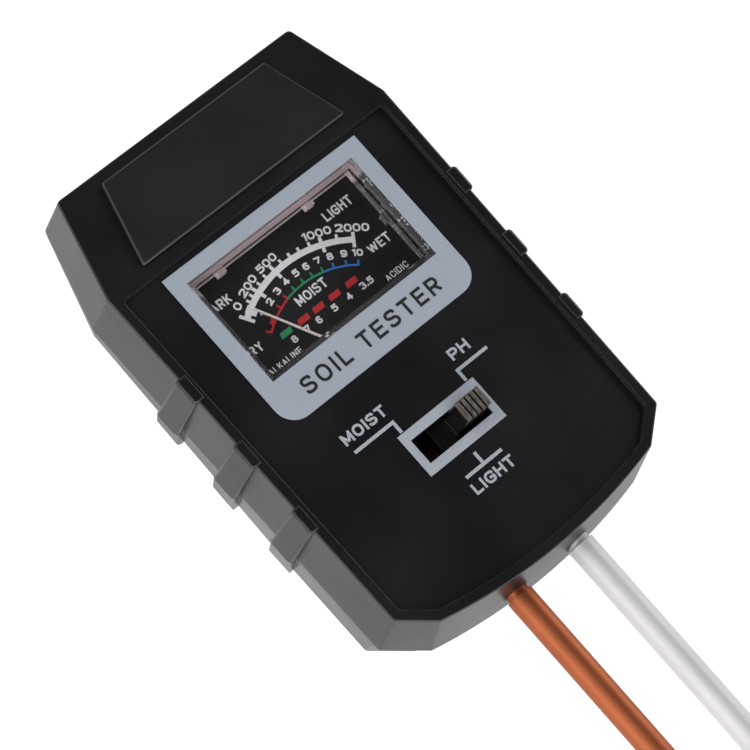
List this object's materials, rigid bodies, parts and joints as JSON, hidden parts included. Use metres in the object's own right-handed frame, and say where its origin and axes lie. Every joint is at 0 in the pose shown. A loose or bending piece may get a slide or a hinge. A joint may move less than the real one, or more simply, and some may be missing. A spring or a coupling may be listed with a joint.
{
  "type": "soil moisture meter",
  "caption": "Hand-held garden soil tester: flat black body with a sloped end, a needle dial behind a clear window, a slide switch and two long pointed metal probes.",
  "frame": {"origin": "middle of the flat rear face, on the plane the tester rests on", "axes": "+Z out of the printed face, +Y from the probes towards the sloped light-cell end, +X to the right of somebody reading the dial"},
  "size_m": [0.0662, 0.2804, 0.03],
  "materials": {
    "body_black": "fine-textured moulded black plastic",
    "screw_steel": "bright zinc plated",
    "label_blue_grey": "printed blue-grey foil",
    "smoked_window": "dark smoked translucent plastic, satin",
    "cell_glass": "dark blue coated cell",
    "board_tan": "bare fibre board",
    "meter_black": "moulded black plastic",
    "clear_plastic": "clear polished plastic",
    "dial_black": "matt black enamel with printed scales",
    "brass": "bare brass",
    "soft_iron": "plated soft iron",
    "magnet": "bare magnet alloy",
    "aluminium": "satin aluminium",
    "pointer_cream": "cream enamel",
    "coil_copper": "enamelled copper winding",
    "spring_bronze": "phosphor bronze",
    "switch_steel": "nickel plated steel",
    "board_black": "phenolic board",
    "knob_black": "moulded black acetal",
    "copper": "drawn copper, satin polish",
    "probe_aluminium": "drawn aluminium alloy, satin polish",
    "resistor_tan": "lacquered ceramic",
    "wire_red": "flexible insulation",
    "wire_black": "flexible insulation"
  },
  "bodies": {
    "housing": {"front_shell": "body_black", "rear_shell": "body_black", "shell_screws": "screw_steel", "label_plate": "label_blue_grey", "light_window": "smoked_window", "photocell": "cell_glass", "cell_board": "board_tan", "meter_base": "meter_black", "meter_terminals": "brass", "meter_cover": "clear_plastic", "dial_plate": "dial_black", "dial_screws": "screw_steel", "stop_posts": "brass", "return_yoke": "soft_iron", "core_magnet": "magnet", "core_clip": "aluminium", "hairspring_upper": "spring_bronze", "hairspring_lower": "spring_bronze", "zero_arm": "aluminium", "meter_bridge": "aluminium", "bridge_screws": "brass", "bearing_screws": "brass", "switch_can": "switch_steel", "switch_board": "board_black", "switch_terminals": "brass", "switch_screws": "screw_steel", "copper_probe": "copper", "alloy_probe": "probe_aluminium", "probe_clamp": "meter_black", "clamp_screws": "screw_steel", "probe_tags": "brass", "resistors": "resistor_tan", "probe_wire_red": "wire_red", "probe_wire_black": "wire_black", "meter_wire_red": "wire_red", "meter_wire_black": "wire_black", "cell_wire_red": "wire_red", "cell_wire_black": "wire_black"},
    "pointer": {"needle": "pointer_cream", "balance_weights": "brass", "moving_coil": "coil_copper", "coil_pivots": "screw_steel"},
    "switch_slide": {"switch_slider": "knob_black", "switch_wipers": "brass", "detent_balls": "screw_steel", "detent_spring": "screw_steel"}
  },
  "joints": [
    {"name": "pointer_pivot", "type": "hinge", "parent": "housing", "child": "pointer", "pos_m": [0, -0.0035, 0.018], "axis": [0, 0, 1], "range_deg": [-66.4, 9.6], "stiffness_Nm_per_rad": 0.000004},
    {"name": "switch_travel", "type": "slide", "parent": "housing", "child": "switch_slide", "axis": [1, 0, 0], "range_m": [-0.007, 0]}
  ]
}
